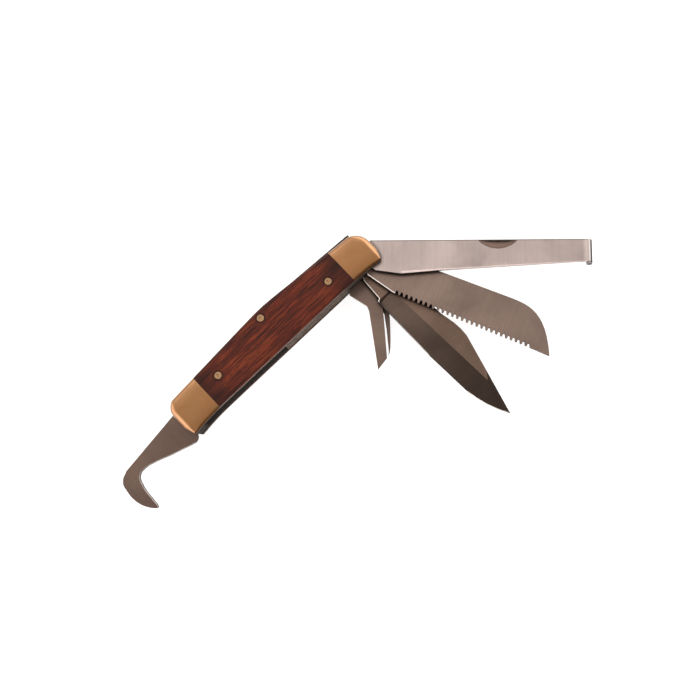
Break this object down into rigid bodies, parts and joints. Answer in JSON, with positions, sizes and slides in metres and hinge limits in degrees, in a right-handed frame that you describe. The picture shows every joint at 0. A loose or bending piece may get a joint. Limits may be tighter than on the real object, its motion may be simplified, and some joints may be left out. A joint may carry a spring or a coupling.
{
  "type": "whittling knife",
  "caption": "Folding whittling knife with a hump-backed wood and brass handle, several carving blades on a head pivot, and a hook blade on a tail pivot.",
  "frame": {"origin": "middle of the handle's length and height, on the flat outer face of the back scale", "axes": "+X along the handle from tail to head, +Y towards the backsprings, +Z out of the front scale, away from the rest face"},
  "size_m": [0.214, 0.1031, 0.0199],
  "materials": {
    "rosewood": "oiled dark red-brown rosewood with dark grain",
    "bolster_brass": "satin brass, brighter on the rounded edges",
    "liner_brass": "sheet brass with worn edges",
    "pin_brass": "riveted brass pins, flush",
    "spring_steel": "ground spring steel",
    "blade_steel": "warm grey satin tool steel with fine grinding marks",
    "satin_blade_steel": "bright satin tool steel brushed across the blade"
  },
  "bodies": {
    "handle": {"front_scale": "rosewood", "back_scale": "rosewood", "front_head_bolster": "bolster_brass", "front_tail_bolster": "bolster_brass", "back_head_bolster": "bolster_brass", "back_tail_bolster": "bolster_brass", "front_liner": "liner_brass", "back_liner": "liner_brass", "middle_liner_1": "liner_brass", "middle_liner_2": "liner_brass", "middle_liner_3": "liner_brass", "middle_liner_4": "liner_brass", "gouge_spring": "spring_steel", "chisel_and_hook_spring": "spring_steel", "spear_spring": "spring_steel", "saw_spring": "spring_steel", "bent_tip_spring": "spring_steel", "head_pivot_pin": "pin_brass", "tail_pivot_pin": "pin_brass", "spring_pin": "pin_brass", "front_scale_pins": "pin_brass", "back_scale_pins": "pin_brass"},
    "bent_tip_blade": {"bent_tip_blade": "satin_blade_steel"},
    "saw": {"saw_blade": "blade_steel"},
    "spear": {"spear_blade": "blade_steel"},
    "chisel": {"chisel_blade": "blade_steel"},
    "gouge": {"gouge_blade": "blade_steel"},
    "hook": {"hook_blade": "blade_steel"}
  },
  "joints": [
    {"name": "bent_tip_hinge", "type": "hinge", "parent": "handle", "child": "bent_tip_blade", "pos_m": [0.0485, -0.0025, 0.01515], "axis": [0, 0, 1], "range_deg": [-136.5, 43.5]},
    {"name": "saw_hinge", "type": "hinge", "parent": "handle", "child": "saw", "pos_m": [0.0485, -0.0025, 0.01255], "axis": [0, 0, 1], "range_deg": [-110.5, 66]},
    {"name": "spear_hinge", "type": "hinge", "parent": "handle", "child": "spear", "pos_m": [0.0485, -0.0025, 0.00995], "axis": [0, 0, 1], "range_deg": [-89.5, 90.5]},
    {"name": "chisel_hinge", "type": "hinge", "parent": "handle", "child": "chisel", "pos_m": [0.0485, -0.0025, 0.00735], "axis": [0, 0, 1], "range_deg": [-55, 125]},
    {"name": "gouge_hinge", "type": "hinge", "parent": "handle", "child": "gouge", "pos_m": [0.0485, -0.0025, 0.00475], "axis": [0, 0, 1], "range_deg": [-55, 125]},
    {"name": "hook_hinge", "type": "hinge", "parent": "handle", "child": "hook", "pos_m": [-0.0497, -0.001, 0.00735], "axis": [0, 0, 1], "range_deg": [0, 162]}
  ]
}
